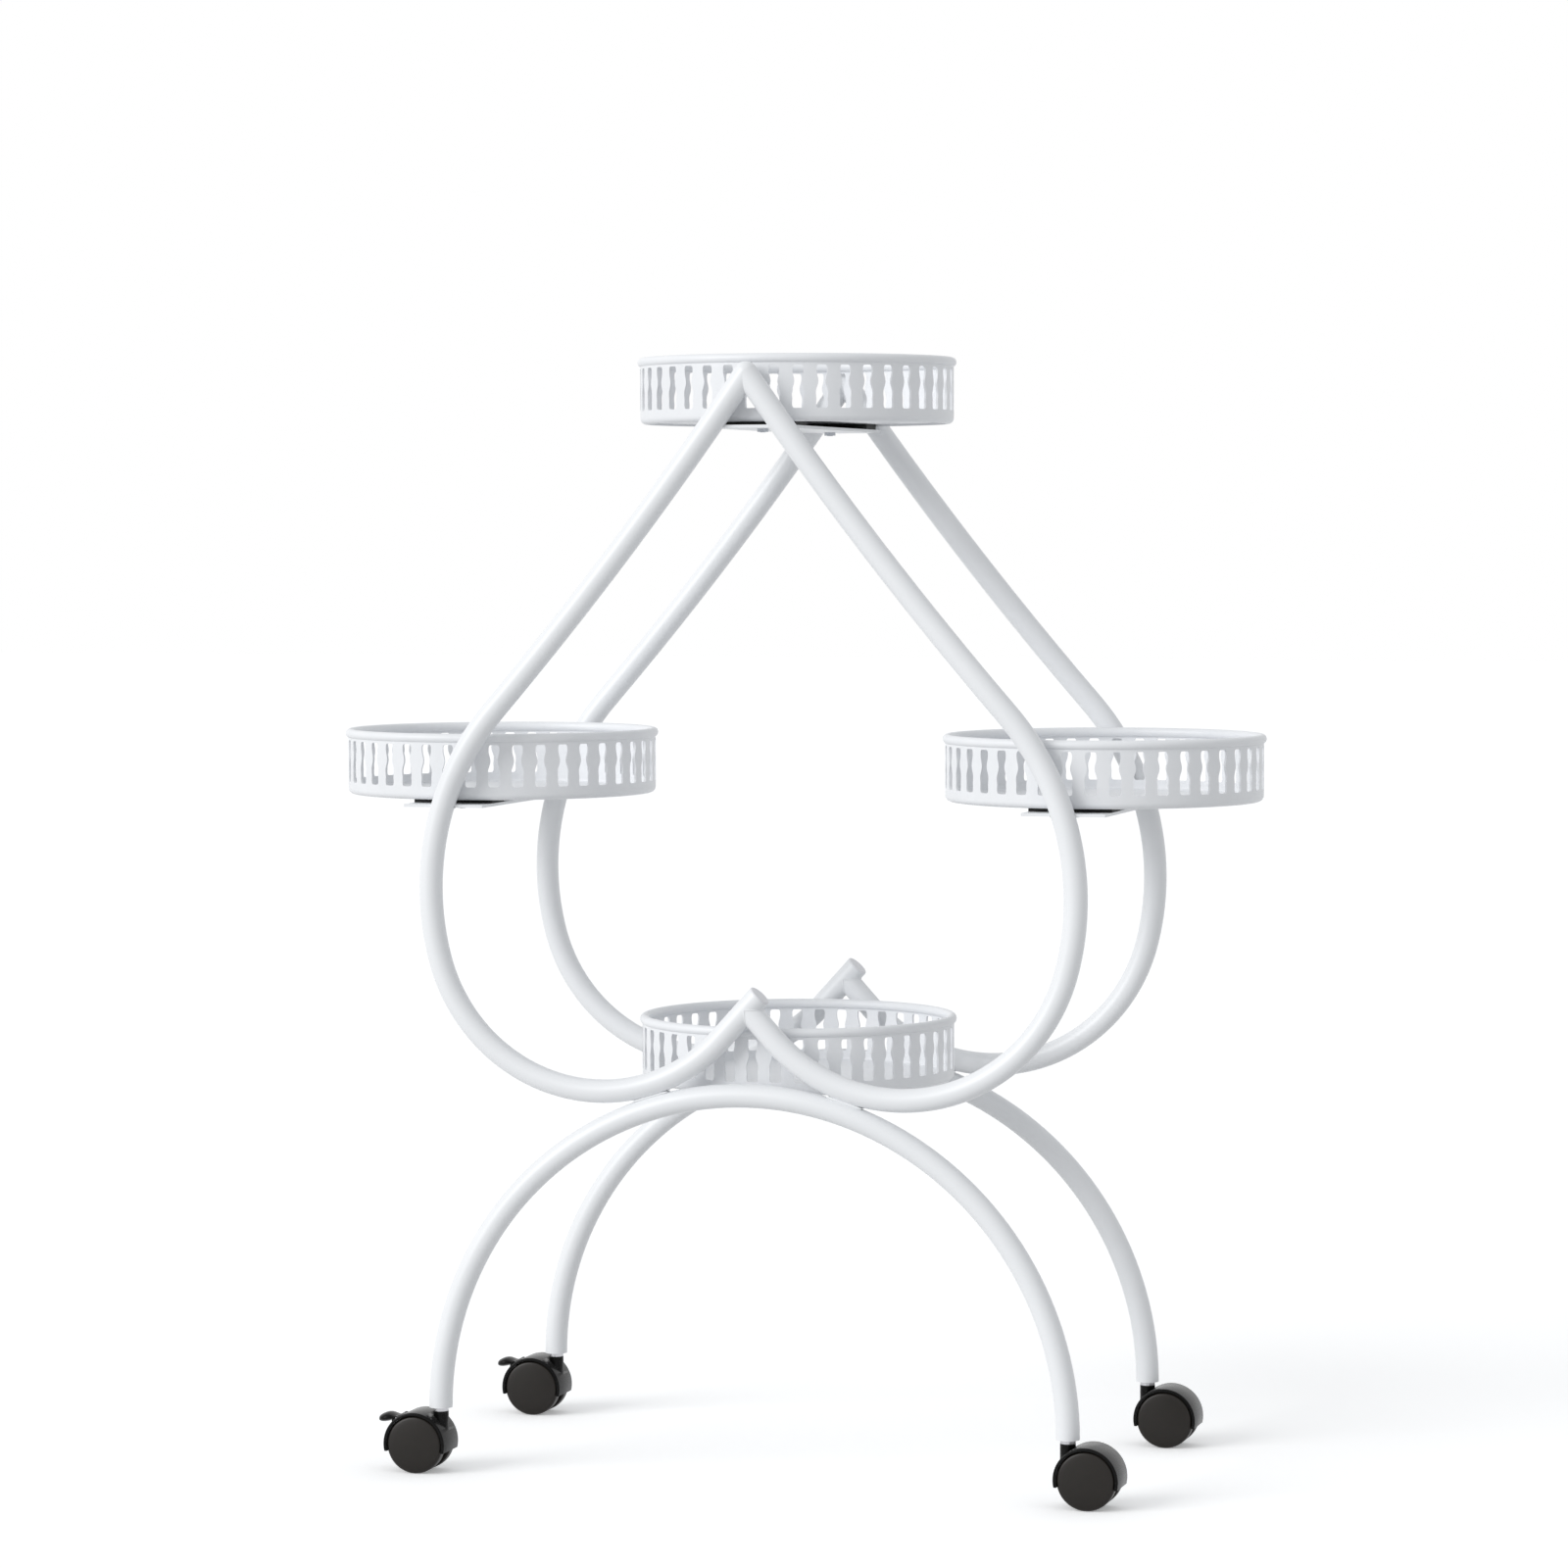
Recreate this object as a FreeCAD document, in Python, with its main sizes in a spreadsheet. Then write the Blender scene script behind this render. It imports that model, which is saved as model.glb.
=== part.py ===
import FreeCAD, Part
import os
import Sketcher

# Plant rack: two heart-and-arch frames of bent white steel tube carry four round pierced trays,
# and the whole stands on four twin-wheel casters. Lengths are in millimetres, angles in degrees.
# The origin lies on the floor under the middle of the rack; +Z is up and the front is -Y.
doc = FreeCAD.newDocument("plant_rack")
dims = doc.addObject("Spreadsheet::Sheet", "dims")
places = doc.addObject("Spreadsheet::Sheet", "places")

# Driving dimensions.
DIMENSIONS = {
    # Bent tube of the hearts and arches.
    "tube_diameter": 16,
    "tube_wall": 1.2,
    "weld_gap": 0.1,
    "arch_radius": 221.5,
    "lobe_radius": 118.5,
    "lobe_offset": 105.8,
    "lobe_join_angle": 15,
    "shoulder_radius": 184.6,
    "shoulder_top_slope": 41.6,
    "flare_radius": 2650,
    "cusp_slope": 42.5,
    "cusp_overrun": 8,
    "plug_depth": 12,
    "plug_crown": 1.5,
    # Trays: pierced gallery with a wired rim and a turned-in foot, and the base lying in it.
    "tray_rim_diameter": 220,
    "tray_tube_gap": 0.3,
    "gallery_height": 45.6,
    "band_thickness": 1.5,
    "band_bend_radius": 4,
    "band_flange": 1,
    "bead_diameter": 6.5,
    "bead_proud": 1.8,
    "slot_count": 42,
    "slot_foot_height": 8.9,
    "slot_height": 29,
    "slot_head_width": 7.4,
    "slot_neck_width": 4.8,
    "slot_belly_width": 8.4,
    "slot_waist_width": 7.6,
    "slot_foot_width": 8,
    "slot_corner": 1.8,
    "foot_share": 0.1,
    "waist_share": 0.21,
    "belly_share": 0.36,
    "neck_share": 0.63,
    "head_share": 0.86,
    "base_thickness": 1,
    "base_lip_height": 7,
    "top_tray_drop": 32,
    "side_tray_rise": 77,
    "bottom_tray_drop": 0.8,
    # Bearers, with the rubber pads and the fixings of the trays.
    "bearer_width": 57,
    "bearer_thickness": 2,
    "pad_thickness": 3.9,
    "pad_depth": 24,
    "pad_inset": 12,
    "stud_inset": 18,
    "stud_diameter": 4,
    "stud_hole_clearance": 0.4,
    "stud_tail": 0.3,
    "nut_width": 7,
    "nut_height": 2.2,
    # Leg inserts and caster stems.
    "insert_length": 26,
    "insert_gap": 0.05,
    "thread_diameter": 8,
    "thread_length": 20,
    "collar_diameter": 10.4,
    "collar_height": 2.5,
    "pin_diameter": 7,
    "pin_length": 18,
    "running_clearance": 0.05,
    "end_clearance": 0.3,
    "ring_height": 1.2,
    "ring_depth": 0.6,
    "ring_lift": 3,
    # Casters.
    "wheel_diameter": 40,
    "wheel_gap": 10,
    "wheel_width": 9.6,
    "wheel_rim_round": 1.5,
    "wheel_crown": 0.4,
    "wheel_disc_thickness": 2.2,
    "wheel_rim_thickness": 3.5,
    "hub_diameter": 10,
    "bore_depth": 8,
    "axle_diameter": 4,
    "trail": 15,
    "hood_gap": 0.7,
    "hood_wall": 2.3,
    "hood_width": 29,
    "hood_skirt": 5,
    "web_gap": 0.5,
    "neck_diameter": 10.6,
    "neck_rise": 22.2,
    "neck_recess_depth": 3.4,
    "neck_recess_width": 3.6,
    # Brake levers of the two left casters.
    "lever_angle": 50,
    "lever_barrel_diameter": 3.4,
    "lever_barrel_gap": 0.4,
    "lever_width": 16.4,
    "lever_side_gap": 0.3,
    "lever_pin_diameter": 2,
    "lever_reach": 16,
    "paddle_thickness": 3.8,
    "paddle_tip_thickness": 2.4,
    "paddle_droop": 1.6,
    "paddle_round": 7.8,
    "paddle_crest_share": 0.4,
    "shoe_inner_gap": 1.5,
    "shoe_inner_angle": 11.3,
    "shoe_outer_gap": 2.6,
    "shoe_outer_angle": 13,
    "ear_diameter": 3.6,
    "ear_thickness": 2,
    "window_angle": 48,
    "window_length": 12,
    "window_depth": 1.4,
    "cut_overrun": 4,
}
for row, (alias, value) in enumerate(DIMENSIONS.items(), start=1):
    dims.set(f"A{row}", alias)
    dims.set(f"B{row}", str(value))
    dims.setAlias(f"B{row}", alias)
doc.recompute()

# Places that follow from the driving dimensions.
PLACES = {
    # Height of the casters, up to the ends of the legs.
    "wheel_radius": "dims.wheel_diameter / 2",
    "neck_top": "wheel_radius + dims.neck_rise",
    "collar_z": "neck_top + dims.end_clearance",
    "leg_end": "collar_z + dims.collar_height",
    # Tube frame: the lobes rest on the arches, and each curve leaves the one before it without a kink.
    "tube_radius": "dims.tube_diameter / 2",
    "bore_radius": "dims.tube_diameter / 2 - dims.tube_wall",
    "frame_offset": "dims.tray_rim_diameter / 2 + dims.tray_tube_gap + tube_radius",
    "arch_top": "leg_end + dims.arch_radius",
    "lobe_distance": "dims.arch_radius + dims.lobe_radius + dims.tube_diameter + dims.weld_gap",
    "lobe_z": "leg_end + sqrt(lobe_distance ^ 2 - dims.lobe_offset ^ 2)",
    "join_x": "dims.lobe_offset + dims.lobe_radius * cos(dims.lobe_join_angle)",
    "join_z": "lobe_z - dims.lobe_radius * sin(dims.lobe_join_angle)",
    "shoulder_centre_x": "join_x - dims.shoulder_radius * cos(dims.lobe_join_angle)",
    "shoulder_centre_z": "join_z + dims.shoulder_radius * sin(dims.lobe_join_angle)",
    "shoulder_x": "shoulder_centre_x + dims.shoulder_radius * cos(dims.shoulder_top_slope)",
    "shoulder_z": "shoulder_centre_z + dims.shoulder_radius * sin(dims.shoulder_top_slope)",
    "flare_centre_x": "shoulder_x + dims.flare_radius * cos(dims.shoulder_top_slope)",
    "flare_centre_z": "shoulder_z + dims.flare_radius * sin(dims.shoulder_top_slope)",
    "apex_z": "flare_centre_z - sqrt(dims.flare_radius ^ 2 - flare_centre_x ^ 2)",
    "cusp_x": "dims.lobe_offset - dims.lobe_radius * cos(dims.cusp_slope)",
    "cusp_z": "lobe_z - dims.lobe_radius * sin(dims.cusp_slope)",
    "crossing_z": "cusp_z + cusp_x / tan(dims.cusp_slope)",
    "overrun_z": "crossing_z + dims.cusp_overrun / tan(dims.cusp_slope)",
    # Trays, from the band inward.
    "band_outer": "dims.tray_rim_diameter / 2 - dims.bead_proud",
    "band_inner": "band_outer - dims.band_thickness",
    "bead_radius": "dims.bead_diameter / 2",
    "bead_centre": "dims.tray_rim_diameter / 2 - bead_radius",
    "bead_z": "dims.gallery_height - bead_radius",
    "band_flange_inner": "band_outer - dims.band_bend_radius - dims.band_flange",
    "band_bend_inner": "dims.band_bend_radius - dims.band_thickness",
    "base_inner": "band_inner - dims.base_thickness",
    "base_floor": "dims.band_thickness + dims.base_thickness",
    "base_bend_inner": "band_bend_inner - dims.base_thickness",
    # Tray undersides, and the bearers below them.
    "top_tray_z": "apex_z - dims.top_tray_drop",
    "side_tray_z": "lobe_z + dims.side_tray_rise",
    "bottom_tray_z": "arch_top - dims.bottom_tray_drop",
    "bearer_drop": "dims.pad_thickness + dims.bearer_thickness - dims.band_thickness",
    "side_bearer_z": "side_tray_z - bearer_drop + dims.bearer_thickness / 2",
    "side_tray_x": "shoulder_centre_x + sqrt(dims.shoulder_radius ^ 2 - (side_bearer_z - shoulder_centre_z) ^ 2)",
    "pad_end": "dims.tray_rim_diameter / 2 - dims.pad_inset",
    "stud_y": "pad_end - dims.stud_inset",
    "stud_drop": "bearer_drop + dims.nut_height + dims.stud_tail",
    # Casters.
    "well_radius": "wheel_radius + dims.hood_gap",
    "hood_radius": "well_radius + dims.hood_wall",
    "web_thickness": "dims.wheel_gap - 2 * dims.web_gap",
    "pin_end": "collar_z - dims.pin_length",
    "ring_z": "pin_end + dims.ring_lift",
    "wheel_inner": "dims.wheel_gap / 2",
    "wheel_outer": "wheel_inner + dims.wheel_width",
    "axle_half": "wheel_inner + dims.bore_depth - dims.end_clearance",
    "barrel_radius": "dims.lever_barrel_diameter / 2",
    "pivot_reach": "wheel_radius + dims.lever_barrel_gap + barrel_radius",
    "pivot_x": "pivot_reach * cos(dims.lever_angle)",
    "pivot_z": "pivot_reach * sin(dims.lever_angle)",
    "shoe_inner_radius": "wheel_radius + dims.shoe_inner_gap",
    "shoe_outer_radius": "wheel_radius + dims.shoe_outer_gap",
    "window_width": "dims.lever_width + 2 * dims.lever_side_gap",
}
for row, (alias, formula) in enumerate(PLACES.items(), start=1):
    places.set(f"A{row}", alias)
    places.set(f"B{row}", f"={formula}")
    places.setAlias(f"B{row}", alias)
doc.recompute()

FRONT_REAR = (("front", -1), ("rear", 1))
LEFT_RIGHT = (("left", -1), ("right", 1))
nodes = []


def value(formula):
    return float(dims.evalExpression(formula))


def vector(x="0", y="0", z="0"):
    return FreeCAD.Vector(value(x), value(y), value(z))


def bind(thing, **formulas):
    for name, formula in formulas.items():
        thing.setExpression(name, formula)


def place(thing, x="0", y="0", z="0", axis=None, angle="0"):
    if axis is None:
        turn = FreeCAD.Rotation()
    else:
        turn = FreeCAD.Rotation(FreeCAD.Vector(*axis), value(angle))
    thing.Placement = FreeCAD.Placement(vector(x, y, z), turn)
    for name, formula in (("x", x), ("y", y), ("z", z)):
        thing.setExpression(f"Placement.Base.{name}", formula)
    if axis is not None:
        thing.setExpression("Placement.Rotation.Angle", angle)


def node(thing, name):
    thing.Label = name
    nodes.append(thing)
    return thing


def new_body(name):
    return doc.addObject("PartDesign::Body", name)


def origin_feature(body, role):
    return [feature for feature in body.Origin.OriginFeatures if feature.Role == role][0]


def new_sketch(body, role):
    sketch = body.newObject("Sketcher::SketchObject", "sketch")
    sketch.AttachmentSupport = [(origin_feature(body, role), "")]
    sketch.MapMode = "FlatFace"
    return sketch


def fix(sketch, kind, *where, formula):
    index = sketch.addConstraint(Sketcher.Constraint(kind, *where, value(formula)))
    sketch.setExpression(f"Constraints[{index}]", formula)


def pin_point(sketch, shape, end, x, z):
    fix(sketch, "DistanceX", -1, 1, shape, end, formula=x)
    fix(sketch, "DistanceY", -1, 1, shape, end, formula=z)


def draw_circle(sketch, x, z, radius):
    circle = Part.Circle(vector(x, z), FreeCAD.Vector(0, 0, 1), value(radius))
    shape = sketch.addGeometry(circle, False)
    pin_point(sketch, shape, 3, x, z)
    fix(sketch, "Radius", shape, formula=radius)
    return shape


def draw_outline(sketch, corners):
    count = len(corners)
    for index, corner in enumerate(corners):
        line = Part.LineSegment(vector(*corner), vector(*corners[(index + 1) % count]))
        sketch.addGeometry(line, False)
    for index, corner in enumerate(corners):
        sketch.addConstraint(Sketcher.Constraint("Coincident", index, 2, (index + 1) % count, 1))
        pin_point(sketch, index, 1, *corner)


def primitive(kind, **formulas):
    solid = doc.addObject(f"Part::{kind}", kind.lower())
    bind(solid, **formulas)
    return solid


def cylinder(radius, height, x, y, z, axis=None, angle="0"):
    solid = primitive("Cylinder", Radius=radius, Height=height)
    place(solid, x, y, z, axis, angle)
    return solid


def cross_cylinder(radius, start, length, x, z):
    # Round bar along +Y from the given start.
    return cylinder(radius, length, x, start, z, (-1, 0, 0), "90")


def box(length, width, height, x, y, z):
    solid = primitive("Box", Length=length, Width=width, Height=height)
    place(solid, x, y, z)
    return solid


def ring(radius, section, turn, x, y, z, axis=(1, 0, 0), angle="90"):
    # Bent round bar in an upright plane, starting at the +X side of its centre and turning upward.
    solid = primitive("Torus", Radius1=radius, Radius2=section, Angle3=turn)
    place(solid, x, y, z, axis, angle)
    return solid


def cut(base, *tools):
    for tool in tools:
        result = doc.addObject("Part::Cut", "cut")
        result.Base = base
        result.Tool = tool
        base = result
    return base


def fuse(*solids):
    result = doc.addObject("Part::MultiFuse", "fuse")
    result.Shapes = list(solids)
    return result


def group(solids):
    result = doc.addObject("Part::Compound", "group")
    result.Links = list(solids)
    return result


def revolve(body, role, axis, corners):
    sketch = new_sketch(body, role)
    draw_outline(sketch, corners)
    turned = body.newObject("PartDesign::Revolution", "revolution")
    turned.Profile = sketch
    turned.ReferenceAxis = (origin_feature(body, axis), [""])
    return turned


# Hearts: each half is one tube bent from the cusp round the lobe and shoulder up to the apex.
def heart_path(body, side, end_x, end_z):
    corners = (
        (end_x, end_z),
        (f"{side} * places.cusp_x", "places.cusp_z"),
        (f"{side} * places.join_x", "places.join_z"),
        (f"{side} * places.shoulder_x", "places.shoulder_z"),
        ("0", "places.apex_z"),
    )
    arcs = (
        (f"{side} * dims.lobe_offset", "places.lobe_z", "dims.lobe_radius", side),
        (f"{side} * places.shoulder_centre_x", "places.shoulder_centre_z", "dims.shoulder_radius", side),
        (f"{side} * places.flare_centre_x", "places.flare_centre_z", "dims.flare_radius", -side),
    )
    sketch = new_sketch(body, "XZ_Plane")
    sketch.addGeometry(Part.LineSegment(vector(*corners[0]), vector(*corners[1])), False)
    ends = [(0, 2)]
    for index, (x, z, radius, way) in enumerate(arcs):
        circle = Part.Circle(vector(x, z), FreeCAD.Vector(0, 0, 1), value(radius))
        first = circle.parameter(vector(*corners[index + 1]))
        last = circle.parameter(vector(*corners[index + 2]))
        if way < 0:
            first, last = last, first
        shape = sketch.addGeometry(Part.ArcOfCircle(circle, first, last), False)
        start, finish = (1, 2) if way > 0 else (2, 1)
        sketch.addConstraint(Sketcher.Constraint("Tangent", *ends[-1], shape, start))
        ends.append((shape, finish))
        fix(sketch, "Radius", shape, formula=radius)
    pin_point(sketch, 0, 1, *corners[0])
    pin_point(sketch, 0, 2, *corners[1])
    fix(sketch, "DistanceX", -1, 1, *ends[1], formula=corners[2][0])
    fix(sketch, "DistanceX", -1, 1, *ends[2], formula=corners[3][0])
    fix(sketch, "DistanceX", -1, 1, *ends[3], formula=corners[4][0])
    return sketch


def bent_tube(name, path):
    body = path.getParentGeoFeatureGroup()
    section = body.newObject("Sketcher::SketchObject", "section")
    section.AttachmentSupport = [(path, "Edge1")]
    section.MapMode = "NormalToEdge"
    draw_circle(section, "0", "0", "places.tube_radius")
    draw_circle(section, "0", "0", "places.bore_radius")
    pipe = body.newObject("PartDesign::AdditivePipe", name)
    pipe.Profile = section
    pipe.Spine = (path, ["Edge1", "Edge2", "Edge3", "Edge4"])


def heart_half(name, y, side, end_x, end_z):
    body = new_body(f"{name}_bend")
    bent_tube(f"{name}_pipe", heart_path(body, side, end_x, end_z))
    place(body, "0", y, "0")
    tip = primitive("Sphere", Radius="places.tube_radius")
    place(tip, "0", y, "places.apex_z")
    reach = "(2 * dims.tube_diameter)"
    far = f"-{reach}" if side > 0 else "0"
    beyond = box(reach, reach, reach, far, f"{y} - {reach} / 2", f"places.apex_z - {reach} / 2")
    return cut(fuse(body, tip), beyond)


for end, way in FRONT_REAR:
    y = f"{way} * places.frame_offset"
    left = heart_half(f"{end}_left", y, -1, "dims.cusp_overrun", "places.overrun_z")
    node(left, f"{end}_heart_left_tube")
    right = heart_half(f"{end}_right", y, 1, "0", "places.crossing_z")
    reach = "(2 * dims.tube_diameter)"
    cope = cylinder(
        "places.tube_radius + dims.weld_gap",
        f"2 * {reach}",
        f"-{reach} * sin(dims.cusp_slope)",
        y,
        f"places.crossing_z - {reach} * cos(dims.cusp_slope)",
        (0, 1, 0),
        "dims.cusp_slope",
    )
    node(cut(right, cope), f"{end}_heart_right_tube")
    shank = cylinder(
        "places.bore_radius - dims.insert_gap",
        "dims.plug_depth",
        "dims.cusp_overrun - dims.plug_depth * sin(dims.cusp_slope)",
        y,
        "places.overrun_z - dims.plug_depth * cos(dims.cusp_slope)",
        (0, 1, 0),
        "dims.cusp_slope",
    )
    cap = primitive(
        "Cone",
        Radius1="places.tube_radius",
        Radius2="places.tube_radius - dims.plug_crown",
        Height="dims.plug_crown",
    )
    place(cap, "dims.cusp_overrun", y, "places.overrun_z", (0, 1, 0), "dims.cusp_slope")
    node(fuse(shank, cap), f"{end}_cusp_plug")

# Arches: half circles of tube whose ends are the legs.
for end, way in FRONT_REAR:
    y = f"{way} * places.frame_offset"
    outer = ring("dims.arch_radius", "places.tube_radius", "180", "0", y, "places.leg_end")
    inner = ring("dims.arch_radius", "places.bore_radius", "180", "0", y, "places.leg_end")
    node(cut(outer, inner), f"{end}_arch_tube")


def round_edges(body, feature, radius, middle):
    # Fillet of the round edge whose first vertex lies at the given place.
    names = []
    for index, edge in enumerate(feature.Shape.Edges, start=1):
        if edge.Closed and edge.Vertexes[0].Point.distanceToPoint(middle) < value("dims.weld_gap"):
            names.append(f"Edge{index}")
    fillet = body.newObject("PartDesign::Fillet", "fillet")
    fillet.Base = (feature, names)
    bind(fillet, Radius=radius)
    doc.recompute()
    return fillet


# Gallery: band with a wired rim and a turned-in foot, pierced all round with baluster-shaped openings.
gallery = new_body("gallery")
band = revolve(gallery, "XZ_Plane", "Z_Axis", (
    ("places.band_flange_inner", "0"),
    ("places.band_outer", "0"),
    ("places.band_outer", "places.bead_z"),
    ("places.band_inner", "places.bead_z"),
    ("places.band_inner", "dims.band_thickness"),
    ("places.band_flange_inner", "dims.band_thickness"),
))
doc.recompute()
bend = round_edges(gallery, band, "dims.band_bend_radius", vector("places.band_outer"))
round_edges(gallery, bend, "places.band_bend_inner", vector("places.band_inner", "0", "dims.band_thickness"))
bead_sketch = new_sketch(gallery, "XZ_Plane")
draw_circle(bead_sketch, "places.bead_centre", "places.bead_z", "places.bead_radius")
bead = gallery.newObject("PartDesign::Revolution", "bead")
bead.Profile = bead_sketch
bead.ReferenceAxis = (origin_feature(gallery, "Z_Axis"), [""])
slot_top = "dims.slot_foot_height + dims.slot_height"
baluster = (
    ("dims.slot_foot_width / 2 - dims.slot_corner", "dims.slot_foot_height"),
    ("dims.slot_foot_width / 2", "dims.slot_foot_height + dims.foot_share * dims.slot_height"),
    ("dims.slot_waist_width / 2", "dims.slot_foot_height + dims.waist_share * dims.slot_height"),
    ("dims.slot_belly_width / 2", "dims.slot_foot_height + dims.belly_share * dims.slot_height"),
    ("dims.slot_neck_width / 2", "dims.slot_foot_height + dims.neck_share * dims.slot_height"),
    ("dims.slot_head_width / 2", "dims.slot_foot_height + dims.head_share * dims.slot_height"),
    ("dims.slot_head_width / 2", f"{slot_top} - dims.slot_corner"),
    ("dims.slot_head_width / 2 - dims.slot_corner", slot_top),
)
mirrored = tuple((f"-({x})", z) for x, z in reversed(baluster))
slot_sketch = new_sketch(gallery, "XZ_Plane")
slot_sketch.AttachmentOffset.Base.z = value("places.band_inner - dims.cut_overrun")
slot_sketch.setExpression("AttachmentOffset.Base.z", "places.band_inner - dims.cut_overrun")
draw_outline(slot_sketch, baluster + mirrored)
slot = gallery.newObject("PartDesign::Pocket", "slot")
slot.Profile = slot_sketch
slot.Reversed = True
bind(slot, Length="dims.band_thickness + 2 * dims.cut_overrun")
pattern = gallery.newObject("PartDesign::PolarPattern", "slots")
pattern.Originals = [slot]
pattern.Axis = (origin_feature(gallery, "Z_Axis"), [""])
bind(pattern, Occurrences="dims.slot_count")
gallery.Tip = pattern

# Base: disc with a rounded bend and a short upturned lip that lies in the foot of the gallery.
base = new_body("base")
dish = revolve(base, "XZ_Plane", "Z_Axis", (
    ("0", "dims.band_thickness"),
    ("places.band_inner", "dims.band_thickness"),
    ("places.band_inner", "dims.base_lip_height"),
    ("places.base_inner", "dims.base_lip_height"),
    ("places.base_inner", "places.base_floor"),
    ("0", "places.base_floor"),
))
doc.recompute()
bend = round_edges(base, dish, "places.base_bend_inner", vector("places.base_inner", "0", "places.base_floor"))
round_edges(base, bend, "places.band_bend_inner", vector("places.band_inner", "0", "dims.band_thickness"))

TRAYS = (
    ("top", "0", "places.top_tray_z"),
    ("left", "-places.side_tray_x", "places.side_tray_z"),
    ("right", "places.side_tray_x", "places.side_tray_z"),
    ("bottom", "0", "places.bottom_tray_z"),
)
for tray, x, z in TRAYS:
    for piece, pattern_body in (("gallery", gallery), ("base", base)):
        body = new_body(f"{tray}_{piece}")
        body.BaseFeature = pattern_body
        place(body, x, "0", z)
        node(body, f"{tray}_tray_{piece}")

# Bearers: flat bars under the trays, coped round the tubes that they are welded to. Rubber pads
# lie between bearer and base at both ends, and a stud runs through each pad to a nut below.
HALVES = {
    "top": (
        ("places.flare_centre_x", "places.flare_centre_z", "dims.flare_radius"),
        ("-places.flare_centre_x", "places.flare_centre_z", "dims.flare_radius"),
    ),
    "left": (("-places.shoulder_centre_x", "places.shoulder_centre_z", "dims.shoulder_radius"),),
    "right": (("places.shoulder_centre_x", "places.shoulder_centre_z", "dims.shoulder_radius"),),
    "bottom": (("0", "places.leg_end", "dims.arch_radius"),),
}
studs = []
pads = []
nuts = []
for tray, x, z in TRAYS:
    bar = box(
        "dims.bearer_width",
        "2 * places.frame_offset",
        "dims.bearer_thickness",
        f"{x} - dims.bearer_width / 2",
        "-places.frame_offset",
        f"{z} - places.bearer_drop",
    )
    tools = []
    for end, way in FRONT_REAR:
        for centre_x, centre_z, radius in HALVES[tray]:
            section = "places.tube_radius + dims.weld_gap"
            y = f"{way} * places.frame_offset"
            tools.append(ring(radius, section, "360", centre_x, y, centre_z))
    for end, way in FRONT_REAR:
        y = f"{way} * places.stud_y"
        low = f"{z} - places.bearer_drop"
        hole = "dims.stud_diameter / 2 + dims.stud_hole_clearance"
        over = f"{low} - dims.cut_overrun"
        tools.append(cylinder(hole, "dims.bearer_thickness + 2 * dims.cut_overrun", x, y, over))
        stud_radius = "dims.stud_diameter / 2"
        stud_height = "places.stud_drop + dims.band_thickness"
        studs.append(cylinder(stud_radius, stud_height, x, y, f"{z} - places.stud_drop"))
        pad_y = "places.pad_end - dims.pad_depth" if way > 0 else "-places.pad_end"
        top = f"{low} + dims.bearer_thickness"
        pad_x = f"{x} - dims.bearer_width / 2"
        pad = box("dims.bearer_width", "dims.pad_depth", "dims.pad_thickness", pad_x, pad_y, top)
        pads.append(cut(pad, cylinder(stud_radius, "dims.pad_thickness", x, y, top)))
        hexagon = primitive("Prism", Circumradius="dims.nut_width / sqrt(3)", Height="dims.nut_height")
        place(hexagon, x, y, f"{low} - dims.nut_height")
        thread = cylinder(stud_radius, "dims.nut_height", x, y, f"{low} - dims.nut_height")
        nuts.append(cut(hexagon, thread))
    node(cut(bar, *tools), f"{tray}_tray_bearer")
node(group(studs), "tray_studs")
node(group(pads), "tray_spacers")
node(group(nuts), "tray_nuts")

# Leg inserts, and the steel stems screwed into them.
rings = []
for end, way in FRONT_REAR:
    for half, side in LEFT_RIGHT:
        name = f"{end}_{half}"
        x = f"{side} * dims.arch_radius"
        y = f"{way} * places.frame_offset"
        foot = "places.leg_end"
        axis, angle = ((1, 0, 0), "90") if side > 0 else ((0, 1, 1), "180")
        turn = "dims.insert_length / dims.arch_radius * 180 / pi"
        section = "places.bore_radius - dims.insert_gap"
        plug = ring("dims.arch_radius", section, turn, "0", y, foot, axis, angle)
        hole = cylinder("dims.thread_diameter / 2", "dims.thread_length + dims.end_clearance", x, y, foot)
        node(cut(plug, hole), f"{name}_leg_insert")

        stem = new_body(f"{name}_stem")
        collar = "places.collar_z"
        revolve(stem, "XZ_Plane", "Z_Axis", (
            ("0", "places.pin_end"),
            ("dims.pin_diameter / 2", "places.pin_end"),
            ("dims.pin_diameter / 2", "places.ring_z"),
            ("dims.pin_diameter / 2 - dims.ring_depth", "places.ring_z"),
            ("dims.pin_diameter / 2 - dims.ring_depth", "places.ring_z + dims.ring_height"),
            ("dims.pin_diameter / 2", "places.ring_z + dims.ring_height"),
            ("dims.pin_diameter / 2", collar),
            ("dims.collar_diameter / 2", collar),
            ("dims.collar_diameter / 2", "places.leg_end"),
            ("dims.thread_diameter / 2", "places.leg_end"),
            ("dims.thread_diameter / 2", "places.leg_end + dims.thread_length"),
            ("0", "places.leg_end + dims.thread_length"),
        ))
        place(stem, x, y, "0")
        node(stem, f"{name}_caster_stem")
        outer = cylinder("dims.pin_diameter / 2 + dims.ring_depth", "dims.ring_height", x, y, "places.ring_z")
        inner = cylinder("dims.pin_diameter / 2 - dims.ring_depth", "dims.ring_height", x, y, "places.ring_z")
        rings.append(cut(outer, inner))
node(group(rings), "stem_snap_rings")


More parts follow.
